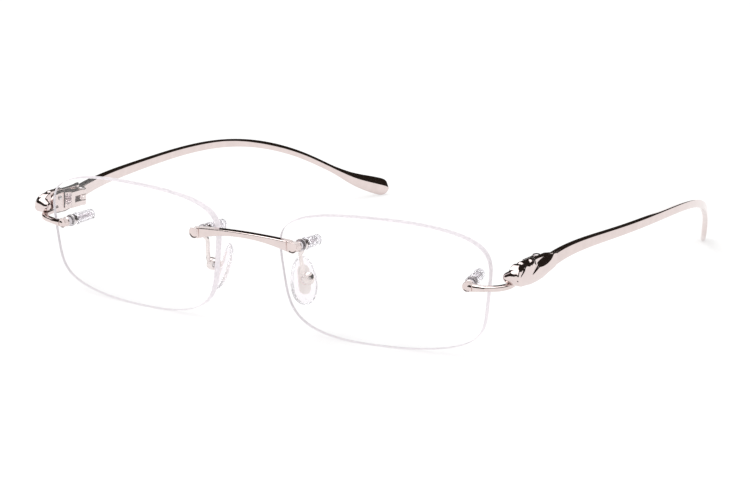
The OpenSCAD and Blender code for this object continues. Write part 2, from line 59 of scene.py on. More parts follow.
# Posts, and where each part on them starts behind the middle of the lens
POST_R, GAP = 0.6, 0.02
STUD_FRONT, STUD_END = -2, 8
FRONT_FACE = -LENS_T / 2 - GAP
FLANGE_R, FLANGE_T, SLEEVE_T = 1.5, 0.4, 0.36
WASHER_R, WASHER_T = 1.5, 0.4
EYE_R, EYE_T = 1.4, 0.6
NUT_R, NUT_T = 1.35, 1.0
FLANGE = LENS_T / 2 + GAP
WASHER = FLANGE + FLANGE_T + GAP
EYE = WASHER + WASHER_T + GAP
SEAT_REACH = 1.6
NASAL_SEAT = SEAT_REACH * math.tan(math.radians(NASAL_DIP))
NASAL_NUT = EYE + NASAL_SEAT + EYE_T + GAP
CAP_LEN, CAP_R, CAP_GAP = 5.8, 1.4, 0.15

# Bridge, end pieces and ornaments
BRIDGE_TOP, BRIDGE_LOW, BRIDGE_T, BRIDGE_FORE, BRIDGE_REACH = 9.45, 8.15, 1.9, 5.6, 13.4
BRIDGE_BUTTON_R, BRIDGE_BUTTON_FRONT = 1.5, -3.5
BAR_H, BAR_T, BAR_RISE, BAR_START = 1.3, 1.6, 4.5, (59.3, 1.7)
END_BUTTON_R, END_BUTTON_FRONT = 1.32, -2.7
PLATE_X, PLATE_T, ORNAMENT_X = 67.1, 1.0, 70.5

# Hinges and temples
HINGE_Y = 20.65
HINGE_H, KNUCKLE_H, KNUCKLE_R, PIN_R = 4.2, 1.4, 1.3, 0.6
BUTT_ANGLE, BUTT_OFFSET = 50, 0.4
TEMPLE_ROOT_H, TEMPLE_H, PADDLE_H = 3.6, 2.2, 5.3
TEMPLE_ROOT_T, TEMPLE_T = 2.1, 1.5

# Nose pads
PAD_CENTRE, PAD_HEADING, PAD_FRONTAL, PAD_TWIST = (11.5, 4.3, -3.9), 150, 20, 7
PAD_HALF_W, PAD_HALF_LEN = 3.5, 6.0
PAD_PIVOT_BACK, PAD_PIVOT_UP = 2.6, 0.2
LUG_T, LUG_R = 1.0, 0.8
INSERT_R, INSERT_REACH = 1.62, 2.1

hinge_joint = [j for j in frame["record"]["behaviour"]["joints"] if j["name"] == "left_temple_fold"][0]
HINGE_POS = [v / METRE for v in hinge_joint["pos_m"]]
LENS_Y = HINGE_POS[1] - HINGE_Y
LENS_Z = LENS_HALF_H * math.cos(math.radians(TILT)) + LENS_T / 2 * math.sin(math.radians(TILT))


def turn(degrees, axis):
    return Matrix.Rotation(math.radians(degrees), 4, axis)


def shift(x, y, z):
    return Matrix.Translation((x, y, z))


FRONT = shift(0, LENS_Y, LENS_Z) @ turn(TILT, "X")
LENS = FRONT @ shift(LENS_CX, 0, 0) @ turn(WRAP, "Z")


def on_lens(u, v, dip=0.0):
    """Frame of a hole: +Z runs back through it, +Y runs down."""
    pitch = -math.degrees(math.asin(v / LENS_R))
    yaw = math.degrees(math.asin(u / (LENS_R * math.cos(math.radians(pitch)))))
    ball = shift(0, LENS_R, 0) @ turn(yaw, "Z") @ turn(pitch, "X") @ shift(0, -LENS_R, 0)
    return LENS @ ball @ turn(-90, "X") @ turn(-dip, "X")


NASAL = on_lens(NASAL_U, NASAL_V, NASAL_DIP)
OUTER = on_lens(OUTER_U, OUTER_V)
PAD = FRONT @ shift(*PAD_CENTRE) @ turn(PAD_HEADING, "Z") @ turn(PAD_FRONTAL, "Y") @ turn(PAD_TWIST, "X")
PIVOT = PAD @ shift(-PAD_PIVOT_BACK, 0, PAD_PIVOT_UP) @ turn(90, "X")
AXLE = shift(*HINGE_POS)
BUTT = AXLE @ turn(BUTT_ANGLE, "Z")


# ---------------------------------------------------------------- 2D helpers
def fillet(points, radius, closed=True, steps=5):
    """A polyline with its corners rounded."""
    out, n = [], len(points)
    for i, p in enumerate(points):
        p = Vector(p)
        if not closed and i in (0, n - 1):
            out.append(p)
            continue
        a, b = Vector(points[i - 1]) - p, Vector(points[(i + 1) % n]) - p
        room = min(a.length, b.length) * 0.49
        half = a.angle(b, math.pi) / 2
        if half > 1.5 or room < 1e-6:
            out.append(p)
            continue
        cut = min(radius / math.tan(half), room)
        r = cut * math.tan(half)
        a, b = a.normalized(), b.normalized()
        centre = p + (a + b).normalized() * (r / math.sin(half))
        start, end = p + a * cut - centre, p + b * cut - centre
        sweep = start.angle_signed(end) if start.length * end.length > 0 else 0
        for k in range(steps + 1):
            out.append(centre + Matrix.Rotation(-sweep * k / steps, 2) @ start)
    return [(q.x, q.y) for q in out]


def inward(outline, distance):
    """The outline moved inwards; it runs anticlockwise."""
    n, out = len(outline), []
    for i in range(n):
        along = Vector(outline[(i + 1) % n]) - Vector(outline[i - 1])
        side = Vector((-along.y, along.x)).normalized()
        out.append((outline[i][0] + side.x * distance, outline[i][1] + side.y * distance))
    return out


def on_circle(degrees):
    return Vector((math.cos(math.radians(degrees)), math.sin(math.radians(degrees))))


def signed_pow(c, e):
    return math.copysign(abs(c) ** e, c)


def ease(t, t0, t1):
    s = min(1.0, max(0.0, (t - t0) / (t1 - t0)))
    return s * s * (3 - 2 * s)


def smooth_path(points, steps):
    """A Catmull-Rom curve through 3D points."""
    p = [Vector(q) for q in points]
    p = [p[0] * 2 - p[1]] + p + [p[-1] * 2 - p[-2]]
    out = []
    for i in range(1, len(p) - 2):
        for k in range(steps):
            t = k / steps
            out.append(0.5 * (2 * p[i] + (p[i + 1] - p[i - 1]) * t
                              + (2 * p[i - 1] - 5 * p[i] + 4 * p[i + 1] - p[i + 2]) * t * t
                              + (3 * p[i] - p[i - 1] - 3 * p[i + 1] + p[i + 2]) * t ** 3))
    return out + [p[-2]]


# ---------------------------------------------------------------- solids: (points, faces)
def placed(solid, matrix):
    return [matrix @ Vector(v) for v in solid[0]], solid[1]


def joined(*solids):
    verts, faces = [], []
    for s in solids:
        faces += [[i + len(verts) for i in f] for f in s[1]]
        verts += s[0]
    return verts, faces


def mirrored(solid):
    return [Vector((-v[0], v[1], v[2])) for v in solid[0]], [list(reversed(f)) for f in solid[1]]


def both_sides(solid):
    return joined(solid, mirrored(solid))


def rings(loops, caps=True, wrap=False):
    """Quads between closed loops of equal length."""
    n, verts, faces = len(loops[0]), [Vector(v) for loop in loops for v in loop], []
    pairs = list(zip(range(len(loops)), range(1, len(loops))))
    if wrap:
        pairs.append((len(loops) - 1, 0))
    for a, b in pairs:
        for i in range(n):
            j = (i + 1) % n
            faces.append([a * n + i, a * n + j, b * n + j, b * n + i])
    if caps and not wrap:
        faces.append(list(reversed(range(n))))
        faces.append([(len(loops) - 1) * n + i for i in range(n)])
    return verts, faces


def lathe(profile, matrix, n=48):
    """A closed profile of (radius, z) turned about Z. A profile that starts and ends on the axis is solid."""
    solid = profile[0][0] < 1e-6
    body = profile[1:-1] if solid else profile
    loops = [[(r * math.cos(2 * math.pi * k / n), r * math.sin(2 * math.pi * k / n), z) for k in range(n)]
             for r, z in body]
    verts, faces = rings(loops, caps=False, wrap=not solid)
    if solid:
        for end, row in ((profile[0], 0), (profile[-1], len(body) - 1)):
            verts.append(Vector((0, 0, end[1])))
            tip = len(verts) - 1
            faces += [[row * n + k, row * n + (k + 1) % n, tip] for k in range(n)]
    return placed((verts, faces), matrix)


def rod(r, z0, z1, matrix, edge=0.08, n=48):
    """A cylinder with rounded edges."""
    return lathe(fillet([(0, z0), (r, z0), (r, z1), (0, z1)], edge, closed=False, steps=4), matrix, n)


def ring(r_out, r_in, z0, z1, matrix, edge=0.08, n=48):
    """A tube or washer with rounded edges."""
    return lathe(fillet([(r_in, z0), (r_out, z0), (r_out, z1), (r_in, z1)], edge, steps=3), matrix, n)


def prism(outline, z0, z1, matrix, edge=0.0, steps=3):
    """An outline raised along Z, with rounded edges."""
    loops = []
    for k in range(steps + 1 if edge else 1):
        a = math.pi / 2 * k / steps
        loops.append([(x, y, z0 + edge * (1 - math.sin(a)))
                      for x, y in inward(outline, edge * (1 - math.cos(a)))])
    mirror = [[(x, y, z0 + z1 - z) for x, y, z in loop] for loop in reversed(loops)]
    return placed(rings(loops + mirror), matrix)


def brick(low, high, matrix):
    (x0, y0, z0), (x1, y1, z1) = low, high
    return prism([(x0, y0), (x1, y0), (x1, y1), (x0, y1)], z0, z1, matrix)


def ball(centre, radii, matrix, n, power=2.0):
    """An ellipsoid, or with a higher power a rounded box."""
    e = 2 / power
    loops = []
    for j in range(1, n // 2):
        b = math.pi * (j / (n // 2) - 0.5)
        loops.append([(centre[0] + radii[0] * signed_pow(math.cos(a), e) * math.cos(b) ** e,
                       centre[1] + radii[1] * signed_pow(math.sin(a), e) * math.cos(b) ** e,
                       centre[2] + radii[2] * signed_pow(math.sin(b), e))
                      for a in [2 * math.pi * k / n for k in range(n)]])
    verts, faces = rings(loops, caps=False)
    for row, z in ((0, -radii[2]), (len(loops) - 1, radii[2])):
        verts.append(Vector((centre[0], centre[1], centre[2] + z)))
        faces += [[row * n + k, row * n + (k + 1) % n, len(verts) - 1] for k in range(n)]
    return placed((verts, faces), matrix)


def chain(p0, r0, p1, r1, matrix, n):
    """Balls in a row whose size changes from one end to the other."""
    p0, p1 = Vector(p0), Vector(p1)
    return joined(*[ball(p0.lerp(p1, k / (n - 1)), [r0 + (r1 - r0) * k / (n - 1)] * 3, matrix, 16)
                    for k in range(n)])


def strip(path, width, depth, side, matrix, corner=0.18):
    """A rounded flat bar along a path. side is the direction of its width."""
    outline = fillet([(-width / 2, -depth / 2), (width / 2, -depth / 2),
                      (width / 2, depth / 2), (-width / 2, depth / 2)], corner, steps=4)
    loops = []
    for i, p in enumerate(path):
        along = (path[min(i + 1, len(path) - 1)] - path[max(i - 1, 0)]).normalized()
        across = (Vector(side) - along * along.dot(Vector(side))).normalized()
        through = along.cross(across)
        loops.append([p + across * a + through * b for a, b in outline])
    return placed(rings(loops), matrix)


# ---------------------------------------------------------------- mesh objects
def linked(name, data):
    """A new object in the scene."""
    obj = bpy.data.objects.new(name, data)
    bpy.context.scene.collection.objects.link(obj)
    return obj


def raw(solid):
    """A work object in millimetres, with its faces turned outwards."""
    mesh = bpy.data.meshes.new("work")
    mesh.from_pydata([tuple(v) for v in solid[0]], [], solid[1])
    bm = bmesh.new()
    bm.from_mesh(mesh)
    bmesh.ops.remove_doubles(bm, verts=bm.verts, dist=1e-5)
    bmesh.ops.recalc_face_normals(bm, faces=bm.faces)
    bm.to_mesh(mesh)
    bm.free()
    return linked("work", mesh)


def bake(obj):
    """Applies the object's modifiers."""
    bpy.context.view_layer.update()
    done = bpy.data.meshes.new_from_object(obj.evaluated_get(bpy.context.evaluated_depsgraph_get()))
    obj.modifiers.clear()
    old, obj.data = obj.data, done
    bpy.data.meshes.remove(old)
    return obj


def modified(obj, kind, **settings):
    m = obj.modifiers.new(kind, kind)
    for key, value in settings.items():
        setattr(m, key, value)
    return bake(obj)


def combine(obj, solid, operation, voxel=None):
    """A boolean with a solid. A solid of several overlapping bodies needs a voxel size."""
    other = melted(raw(solid), voxel, 0) if voxel else raw(solid)
    modified(obj, "BOOLEAN", object=other, operation=operation, solver="EXACT")
    drop(other)
    return obj


def drop(obj):
    mesh = obj.data
    bpy.data.objects.remove(obj)
    bpy.data.meshes.remove(mesh)


def taken(obj):
    """The solid of a work object, which is removed."""
    solid = [v.co.copy() for v in obj.data.vertices], [list(p.vertices) for p in obj.data.polygons]
    drop(obj)
    return solid


def melted(obj, voxel, rounds):
    """One skin over everything in the mesh, with its edges rounded as casting and polishing leave them."""
    modified(obj, "REMESH", mode="VOXEL", voxel_size=voxel, adaptivity=0.0)
    return modified(obj, "SMOOTH", factor=0.5, iterations=rounds) if rounds else obj


def cast(solids, cuts, voxel, rounds):
    """Solids melted into one, less the cuts, and smoothed as castings are."""
    obj = melted(raw(joined(*solids)), voxel, 0)
    for cut in cuts:
        combine(obj, cut, "DIFFERENCE")
    return melted(obj, voxel, rounds)


def make(name, obj, body, materials, replaces, sharp=35.0):
    """Turns a work object into a piece in metres. sharp is the angle above which an edge stays crisp."""
    obj.name = obj.data.name = name
    obj.data.transform(Matrix.Scale(METRE, 4))
    bm = bmesh.new()
    bm.from_mesh(obj.data)
    bmesh.ops.dissolve_degenerate(bm, edges=bm.edges, dist=1e-7)
    for face in bm.faces:
        face.smooth = True
    for edge in bm.edges:
        edge.smooth = len(edge.link_faces) != 2 or edge.calc_face_angle(0) < math.radians(sharp)
    bm.to_mesh(obj.data)
    bm.free()
    marks = [min(face.material_index, len(materials) - 1) for face in obj.data.polygons]
    obj.data.materials.clear()
    for material in materials:
        obj.data.materials.append(material)
    obj.data.polygons.foreach_set("material_index", marks)
    obj.data.update()
    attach(obj, body)
    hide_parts(replaces)


def make_pair(name, obj, body, materials, replaces, sharp=35.0):
    """The left piece and its mirror image. Names, bodies and nodes take left_ or right_."""
    twin = linked("work", obj.data.copy())
    twin.data.transform(Matrix.Scale(-1, 4, (1, 0, 0)))
    twin.data.flip_normals()
    for side, piece in (("left_", obj), ("right_", twin)):
        on = body if body == "front" else side + body
        make(side + name, piece, on, materials, side + replaces, sharp)


# ---------------------------------------------------------------- materials
def node(tree, kind, inputs=(), **settings):
    n = tree.nodes.new(kind)
    for key, value in settings.items():
        setattr(n, key, value)
    for key, value in dict(inputs).items():
        n.inputs[key].default_value = value
    return n


def shader(name):
    material = bpy.data.materials.new(name)
    material.use_nodes = True
    tree = material.node_tree
    return material, tree, tree.nodes["Principled BSDF"], tree.nodes["Material Output"]


def in_mm(tree, stretch=(1, 1, 1)):
    """Object coordinates in millimetres."""
    where = node(tree, "ShaderNodeTexCoord")
    scale = node(tree, "ShaderNodeMapping")
    scale.inputs["Scale"].default_value = [s / METRE for s in stretch]
    tree.links.new(where.outputs["Object"], scale.inputs["Vector"])
    return scale.outputs["Vector"]


def noise(tree, scale, stretch=(1, 1, 1), detail=3.0):
    n = node(tree, "ShaderNodeTexNoise", {"Scale": scale, "Detail": detail, "Roughness": 0.6})
    tree.links.new(in_mm(tree, stretch), n.inputs["Vector"])
    return n.outputs["Fac"]


def ramp(tree, fac, stops):
    r = node(tree, "ShaderNodeValToRGB")
    while len(r.color_ramp.elements) < len(stops):
        r.color_ramp.elements.new(0.5)
    for element, (place, colour) in zip(r.color_ramp.elements, stops):
        element.position = place
        element.color = (*colour, 1)
    tree.links.new(fac, r.inputs["Fac"])
    return r.outputs["Color"]


def to_range(tree, fac, low, high):
    m = node(tree, "ShaderNodeMapRange", {"From Min": 0.3, "From Max": 0.7, "To Min": low, "To Max": high})
    tree.links.new(fac, m.inputs["Value"])
    return m.outputs["Result"]


def metal(name, light, dark, rough, along=(1, 1, 1), scratch=0.02, pits=0.004):
    """Polished plated metal: a slow drift of tone, and fine hairlines along the part."""
    material, tree, bsdf, _ = shader(name)
    bsdf.inputs["Metallic"].default_value = 1.0
    tone = ramp(tree, noise(tree, 0.35), ((0.35, dark), (0.65, light)))
    tree.links.new(tone, bsdf.inputs["Base Color"])
    hair = noise(tree, 3.0, along, 5.0)
    tree.links.new(to_range(tree, hair, rough * 0.7, rough * 1.5), bsdf.inputs["Roughness"])
    bump = node(tree, "ShaderNodeBump", {"Strength": scratch, "Distance": pits * METRE})
    tree.links.new(hair, bump.inputs["Height"])
    tree.links.new(bump.outputs["Normal"], bsdf.inputs["Normal"])
    return material


def clear(name, colour, ior, rough, ripple=0.0, spots=2.0, thin=0.0):
    """Clear resin or plastic. Lamps shine through it, because it casts no solid shadow.

    rough is its range over the surface, and spots how fine its pattern is. thin is the share of light that
    passes without bending, which keeps small parts from looking like lenses.
    """
    material, tree, bsdf, out = shader(name)
    bsdf.inputs["Base Color"].default_value = (*colour, 1)
    bsdf.inputs["Transmission Weight"].default_value = 1.0
    bsdf.inputs["IOR"].default_value = ior
    haze = noise(tree, spots)
    tree.links.new(to_range(tree, haze, *rough), bsdf.inputs["Roughness"])
    if ripple:
        bump = node(tree, "ShaderNodeBump", {"Strength": ripple, "Distance": 0.01 * METRE})
        tree.links.new(haze, bump.inputs["Height"])
        tree.links.new(bump.outputs["Normal"], bsdf.inputs["Normal"])
    path = node(tree, "ShaderNodeLightPath")
    through = node(tree, "ShaderNodeBsdfTransparent", {"Color": (*colour, 1)})
    mix = node(tree, "ShaderNodeMixShader")
    share = node(tree, "ShaderNodeMath", {1: thin}, operation="MAXIMUM")
    tree.links.new(path.outputs["Is Shadow Ray"], share.inputs[0])
    tree.links.new(share.outputs["Value"], mix.inputs["Fac"])
    tree.links.new(bsdf.outputs["BSDF"], mix.inputs[1])
    tree.links.new(through.outputs["BSDF"], mix.inputs[2])
    tree.links.new(mix.outputs["Shader"], out.inputs["Surface"])
    return material


def ground(name, light, dark):
    """A finely ground edge: matt, pale, with the faint marks of the grinding wheel, and a painted glow."""
    material, tree, bsdf, _ = shader(name)
    grain = noise(tree, 1.2, detail=4.0)
    tree.links.new(ramp(tree, grain, ((0.35, dark), (0.65, light))), bsdf.inputs["Base Color"])
    tree.links.new(to_range(tree, grain, 0.35, 0.6), bsdf.inputs["Roughness"])
    bump = node(tree, "ShaderNodeBump", {"Strength": 0.2, "Distance": 0.01 * METRE})
    tree.links.new(grain, bump.inputs["Height"])
    tree.links.new(bump.outputs["Normal"], bsdf.inputs["Normal"])
    # Painted glow: the edge emits light that stands in for light the resin carries to its edge.
    bsdf.inputs["Emission Color"].default_value = (1, 0.97, 0.99, 1)
    bsdf.inputs["Emission Strength"].default_value = 0.3
    return material


PALE, SHADE = (0.755, 0.65, 0.63), (0.71, 0.61, 0.59)
POLISHED = metal("polished_silver", PALE, SHADE, rough=0.055, along=(1.5, 0.2, 1.5))
TEMPLE_METAL = metal("polished_temple", PALE, SHADE, rough=0.05, along=(2.0, 0.12, 2.0), scratch=0.006)
CASTING = metal("cast_silver", PALE, (0.73, 0.63, 0.615), rough=0.06, scratch=0.03, pits=0.006)
FIXING = metal("plated_steel", (0.76, 0.71, 0.71), (0.66, 0.62, 0.63), rough=0.08, scratch=0.05, pits=0.006)
PAD_METAL = metal("pad_metal", (0.84, 0.76, 0.74), (0.78, 0.70, 0.68), rough=0.09)

# The inserts inside the pads are satin, with a painted glow that stands in for the light the silicone
# gathers.
SATIN_PAINTED_GLOW = metal("satin_plate", (0.97, 0.90, 0.88), (0.93, 0.86, 0.84), rough=0.4)
for socket, value in (("Metallic", 0.2), ("Emission Color", (1, 0.92, 0.9, 1)), ("Emission Strength", 0.14)):
    SATIN_PAINTED_GLOW.node_tree.nodes["Principled BSDF"].inputs[socket].default_value = value

LENS_CLEAR = clear("lens_resin", (0.995, 0.995, 0.998), ior=1.5, rough=(0.0, 0.004), spots=0.08)
# The ground lens edge has a painted glow.
LENS_EDGE_PAINTED_GLOW = ground("lens_ground_edge", (0.60, 0.55, 0.58), (0.46, 0.42, 0.45))
CAP_CLEAR = clear("cap_plastic", (0.95, 0.935, 0.965), ior=1.46, rough=(0.01, 0.06),
                  ripple=0.05, spots=1.5, thin=0.25)
BUSHING_CLEAR = clear("bushing_plastic", (0.93, 0.93, 0.95), ior=1.46, rough=(0.1, 0.25), ripple=0.05)
PAD_CLEAR = clear("pad_silicone", (0.965, 0.945, 0.965), ior=1.41, rough=(0.02, 0.09),
                  ripple=0.06, spots=1.2, thin=0.5)


# ---------------------------------------------------------------- lenses
FINE_OUTLINE = 600
RIM_POINTS, HOLE_POINTS = 220, 40
GRID_PITCH, GRID_MARGIN, EDGE_BEVEL = 0.95, 0.075, 0.14
HOLES = [(NASAL_U, NASAL_V, NASAL), (OUTER_U, OUTER_V, OUTER)]


def lens_outline(n):
    """n points in each quarter, closer together at its ends, where the curve is stretched."""
    points = []
    for quarter in range(4):
        for i in range(n):
            f = i / n
            t = math.pi / 2 * (quarter + (4 * f ** 3 if f < 0.5 else 1 - 4 * (1 - f) ** 3))
            s = signed_pow(math.sin(t), 2 / LENS_Q[quarter])
            c = signed_pow(math.cos(t), 2 / LENS_P[quarter])
            points.append((LENS_HALF_W * c * (1 + LENS_TAPER * s), LENS_HALF_H * s))
    return points


def even_outline(n, inset=0.0):
    """The lens outline with its points at equal steps."""
    fine = lens_outline(FINE_OUTLINE)
    steps = [0.0]
    for i in range(len(fine)):
        steps.append(steps[-1] + (Vector(fine[(i + 1) % len(fine)]) - Vector(fine[i])).length)
    out, i = [], 0
    for k in range(n):
        want = steps[-1] * k / n
        while steps[i + 1] < want:
            i += 1
        share = (want - steps[i]) / (steps[i + 1] - steps[i])
        out.append(Vector(fine[i]).lerp(Vector(fine[(i + 1) % len(fine)]), share))
    out = [(p.x, p.y) for p in out]
    return inward(out, inset) if inset else out


def lens_y(x, z, offset):
    """Place of a lens surface; offset is -half the thickness at the front and +half at the back."""
    return LENS_R - math.sqrt((LENS_R - offset) ** 2 - x * x - z * z)


def inside_lens(x, z, margin):
    """Whether a point is within the outline and outside the holes, with a margin kept from both."""
    quarter = (0 if x > 0 else 1) if z > 0 else (3 if x > 0 else 2)
    s = z / LENS_HALF_H
    share = abs(s) ** LENS_Q[quarter]
    share += abs(x / (LENS_HALF_W * (1 + LENS_TAPER * s))) ** LENS_P[quarter]
    if share > 1 - margin:
        return False
    return all((x - u) ** 2 + (z - v) ** 2 > (HOLE_R + margin * 8) ** 2 for u, v, _ in HOLES)


def lens_grid():
    """Points in staggered rows over the inside of the lens."""
    row = GRID_PITCH * math.sqrt(3) / 2
    rows, columns = int(LENS_HALF_H / row) + 1, int(LENS_HALF_W / GRID_PITCH) + 5
    for j in range(-rows, rows + 1):
        for i in range(-columns, columns + 1):
            x, z = (i + 0.5 * (j % 2)) * GRID_PITCH, j * row
            if abs(z) < LENS_HALF_H and inside_lens(x, z, GRID_MARGIN):
                yield Vector((x, z))


def build_lens():
    """Two curved faces, a ground rim with bevelled edges, and the walls of the holes."""
    def next_rim(i):
        return (i + 1) % RIM_POINTS

    def next_hole(i):
        return (i + 1) % HOLE_POINTS

    half = LENS_T / 2
    rim = even_outline(RIM_POINTS)
    circle = [HOLE_R * on_circle(360 * k / HOLE_POINTS) for k in range(HOLE_POINTS)]
    flat = [Vector(p) for p in even_outline(RIM_POINTS, EDGE_BEVEL)]
    edges = [(i, next_rim(i)) for i in range(RIM_POINTS)]
    for u, v, _ in HOLES:
        start = len(flat)
        flat += [Vector((u, v)) + p for p in circle]
        edges += [(start + i, start + next_hole(i)) for i in range(HOLE_POINTS)]
    flat += lens_grid()
    points, _, triangles = delaunay_2d_cdt(flat, edges, [], 0, 1e-6)[:3]
    keep = [t for t in triangles
            if inside_lens(sum(points[i].x for i in t) / 3, sum(points[i].y for i in t) / 3, 0.0)]

    def surface(offset):
        """The points on a face. Those round a hole follow the hole's axis."""
        out = []
        for k, p in enumerate(points):
            x, z = p.x, p.y
            for h, (_, _, matrix) in enumerate(HOLES):
                first = RIM_POINTS + h * HOLE_POINTS
                if first <= k < first + HOLE_POINTS:
                    axis = (LENS.inverted() @ matrix).col[2]
                    x += axis.x / axis.y * offset
                    z += axis.z / axis.y * offset
            out.append(Vector((x, lens_y(x, z, offset), z)))
        return out

    count = len(points)
    verts = surface(-half) + surface(half)
    faces = [list(t) for t in keep] + [[i + count for i in reversed(t)] for t in keep]
    clear_faces = len(faces)
    for offset, sign in ((-half, 1), (half, -1)):
        verts += [Vector((x, lens_y(x, z, offset) + sign * EDGE_BEVEL, z)) for x, z in rim]
    starts = (0, 2 * count, 2 * count + RIM_POINTS, count)
    for a, b in zip(starts, starts[1:]):
        faces += [[a + i, a + next_rim(i), b + next_rim(i), b + i] for i in range(RIM_POINTS)]
    for h in range(len(HOLES)):
        a = RIM_POINTS + h * HOLE_POINTS
        b = a + count
        faces += [[a + i, a + next_hole(i), b + next_hole(i), b + i] for i in range(HOLE_POINTS)]
    obj = raw(placed((verts, faces), LENS))
    slots = [0] * clear_faces + [1] * (len(faces) - clear_faces)
    obj.data.polygons.foreach_set("material_index", slots)
    return obj


make_pair("lens_resin", build_lens(), "front", [LENS_CLEAR, LENS_EDGE_PAINTED_GLOW], "lens", sharp=25.0)


# ---------------------------------------------------------------- posts and what is on them
def everywhere(build, behind=True):
    """A solid at all four holes. Behind the lens the nasal ones stand off a little, as their posts dip."""
    seat = NASAL_SEAT if behind else 0.0
    return both_sides(joined(build(NASAL @ shift(0, 0, seat)), build(OUTER)))


def threaded(matrix):
    """A post with a rolled thread and a chamfered end."""
    pitch, depth, chamfer, n = 0.25, 0.09, 0.15, 24
    step = pitch / 6
    rows = int((STUD_END - STUD_FRONT - GAP) / step)
    loops = []
    for j in range(rows + 1):
        z = STUD_FRONT + GAP + j * step
        loop = []
        for k in range(n):
            a = 2 * math.pi * k / n
            turnwise = (z / pitch - k / n) % 1
            r = POST_R - depth * (1 - abs(2 * turnwise - 1))
            r = min(r, POST_R - chamfer + (STUD_END - z) * 0.8)
            loop.append((r * math.cos(a), r * math.sin(a), z))
        loops.append(loop)
    return placed(rings(loops), matrix)


def hex_nut(z0):
    """A nut with its corners and its thread's mouth chamfered."""
    def build(matrix):
        z1, bore, mouth = z0 + NUT_T, POST_R + GAP, POST_R + 0.35
        face_r, corner_r, bevel = 1.17, 1.37, 0.16
        obj = raw(prism([NUT_R * on_circle(60 * k) for k in range(6)], z0, z1, Matrix()))
        rounded = [(0, z0), (face_r, z0), (corner_r, z0 + bevel), (corner_r, z1 - bevel), (face_r, z1),
                   (0, z1)]
        threads = [(0, z0 - 1), (mouth, z0 - 0.2), (bore, z0 + 0.15), (bore, z1 - 0.15), (mouth, z1 + 0.2),
                   (0, z1 + 1)]
        combine(obj, lathe(rounded, Matrix(), 60), "INTERSECT")
        combine(obj, lathe(threads, Matrix(), 48), "DIFFERENCE")
        return placed(taken(obj), matrix)
    return build


def clear_cap(z0):
    """A sleeve with a collar, a domed end and a bore for the post."""
    def build(matrix):
        r, collar, bore, deep, domed, well = CAP_R, CAP_R + 0.15, POST_R + GAP, STUD_END + 0.1, 0.75, 0.25
        wall_end = z0 + CAP_LEN - domed
        outer = fillet([(bore, z0), (collar, z0), (collar, z0 + 0.45), (r, z0 + 0.62), (r, wall_end)],
                       0.12, closed=False, steps=3)
        dome = [(r * math.cos(a), wall_end + domed * math.sin(a))
                for a in [math.pi / 2 * k / 8 for k in range(1, 8)]]
        inner = [(bore * math.cos(a), deep - well + well * math.sin(a))
                 for a in [math.pi / 2 * k / 5 for k in range(4, -1, -1)]]
        return lathe([(0, deep)] + inner + outer + dome + [(0, z0 + CAP_LEN)], matrix)
    return build


def sleeve(matrix):
    return ring(POST_R + GAP + SLEEVE_T, POST_R + GAP, FRONT_FACE + GAP, FLANGE - GAP / 2, matrix, 0.05)


def flange(matrix):
    return ring(FLANGE_R, POST_R + GAP, FLANGE, FLANGE + FLANGE_T, matrix, 0.12)


def washer(matrix):
    return ring(WASHER_R, POST_R + GAP, WASHER, WASHER + WASHER_T, matrix, 0.1)


make("threaded_posts", raw(everywhere(threaded, behind=False)),
     "front", [FIXING], "lens_studs", sharp=40.0)
make("bushing_sleeves", raw(joined(everywhere(sleeve), everywhere(flange))),
     "front", [BUSHING_CLEAR], "lens_bushings")
make("lens_washers_round", raw(everywhere(washer)),
     "front", [FIXING], "lens_washers")
make("hex_nuts", raw(both_sides(joined(hex_nut(NASAL_NUT)(NASAL), hex_nut(EYE)(OUTER)))),
     "front", [FIXING], "lens_nuts", sharp=20.0)
make("clear_caps", raw(both_sides(joined(clear_cap(NASAL_NUT + NUT_T + CAP_GAP)(NASAL),
                                         clear_cap(EYE + NUT_T + CAP_GAP)(OUTER)))),
     "front", [CAP_CLEAR], "stud_caps")


# ---------------------------------------------------------------- bridge
def bridge_bar():
    """The bar between the buttons: arched from the front and bowed from above."""
    top_r, low_r, plan_r = 116, 40, 111
    loops, steps = [], 90
    for k in range(steps + 1):
        x = -BRIDGE_REACH + 2 * BRIDGE_REACH * k / steps
        z1 = BRIDGE_TOP - top_r + math.sqrt(top_r ** 2 - x * x)
        z0 = BRIDGE_LOW - low_r + math.sqrt(low_r ** 2 - x * x)
        y0 = plan_r - BRIDGE_FORE - math.sqrt(plan_r ** 2 - x * x)
        y1 = y0 + BRIDGE_T
        corner = min(0.3, (z1 - z0) * 0.4)
        section = fillet([(y0, z0), (y1, z0), (y1, z1), (y0, z1)], corner, steps=5)
        loops.append([(x, y, z) for y, z in section])
    return placed(rings(loops), FRONT)


def button(r, front, back, flat, matrix):
    """A round button with softened edges, flat on top where flat is its height over the post."""
    circle = [r * on_circle(5 * k) for k in range(72)]
    return prism([(p.x, max(-flat, p.y)) for p in circle], front, back, matrix, 0.18)


def build_bridge():
    """The bar and its two buttons, with a fine groove where they meet and a blind hole for each post."""
    buttons = button(BRIDGE_BUTTON_R, BRIDGE_BUTTON_FRONT, FRONT_FACE - NASAL_SEAT, 1.15, NASAL)
    groove = brick((-1.62, -2, BRIDGE_BUTTON_FRONT - 1), (-1.34, 2.2, BRIDGE_BUTTON_FRONT + 0.3), NASAL)
    hole = rod(POST_R + GAP, STUD_FRONT, 2, NASAL)
    cuts = both_sides(joined(groove, hole))
    return cast([bridge_bar(), both_sides(buttons)], [cuts], voxel=0.085, rounds=4)


make("bridge_cast", build_bridge(), "front", [POLISHED], "bridge", sharp=60.0)


